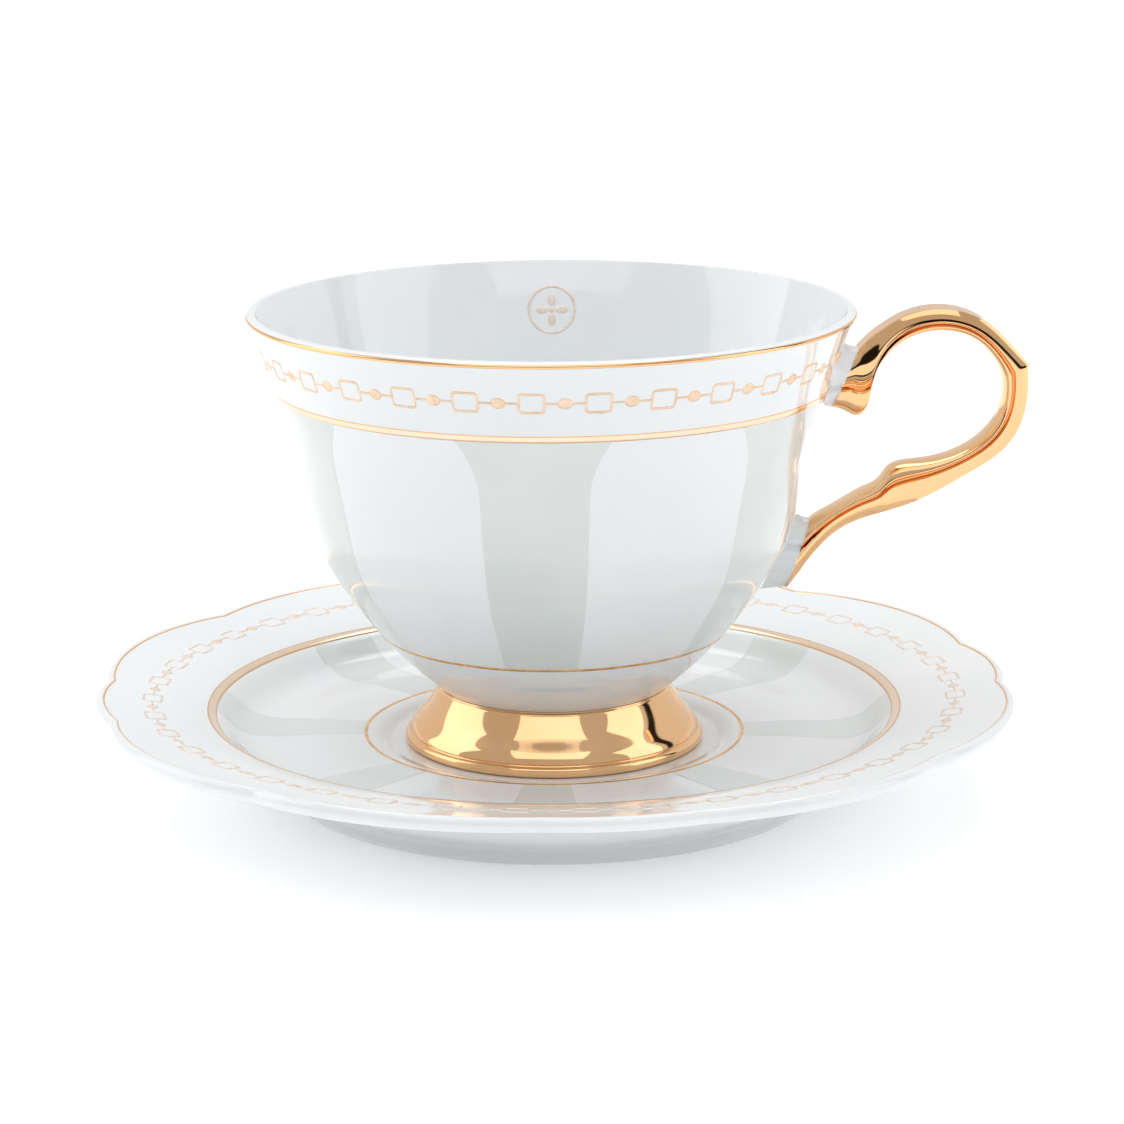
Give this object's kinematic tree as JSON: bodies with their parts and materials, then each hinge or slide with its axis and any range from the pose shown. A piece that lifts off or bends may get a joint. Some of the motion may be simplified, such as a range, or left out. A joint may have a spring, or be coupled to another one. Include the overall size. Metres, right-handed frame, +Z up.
{
  "type": "teacup with saucer",
  "caption": "White china teacup with flared lip, gilded loop handle and gilded pedestal foot, on a matching saucer with a lobed edge; gold bands, chain border and pale striped panels.",
  "frame": {"origin": "on the common axis of the cup and the saucer, at the table", "axes": "+Z up, +X from the axis towards the handle, +Y away from a right-handed drinker"},
  "size_m": [0.1537, 0.1516, 0.0806],
  "materials": {
    "porcelain": "clear gloss glaze over white china",
    "gold_lustre": "mirror-bright burnished gold over glaze",
    "gold_line": "bright gold line over glaze",
    "matt_gold_transfer": "pale satin gold printed transfer",
    "tinted_glaze": "pale grey-green pearly glaze panel"
  },
  "bodies": {
    "saucer": {"saucer": "porcelain", "saucer_rim_gilding": "gold_line", "saucer_wide_band": "gold_line", "saucer_inner_ring": "gold_line", "saucer_chain_links": "matt_gold_transfer", "saucer_chain_beads": "matt_gold_transfer", "saucer_stripes": "tinted_glaze"},
    "cup": {"cup_bowl": "porcelain", "cup_foot": "gold_lustre", "handle": "gold_lustre", "handle_upper_collar": "porcelain", "handle_lower_collar": "porcelain", "rim_gilding": "gold_line", "cup_upper_band": "gold_line", "cup_lower_line": "gold_line", "cup_chain_links": "matt_gold_transfer", "cup_chain_beads": "matt_gold_transfer", "cup_stripes": "tinted_glaze", "cup_inner_motif": "matt_gold_transfer"}
  },
  "joints": [
    {"name": "cup_lift", "type": "slide", "parent": "saucer", "child": "cup", "axis": [0, 0, 1], "range_m": [0, 0.1]}
  ]
}
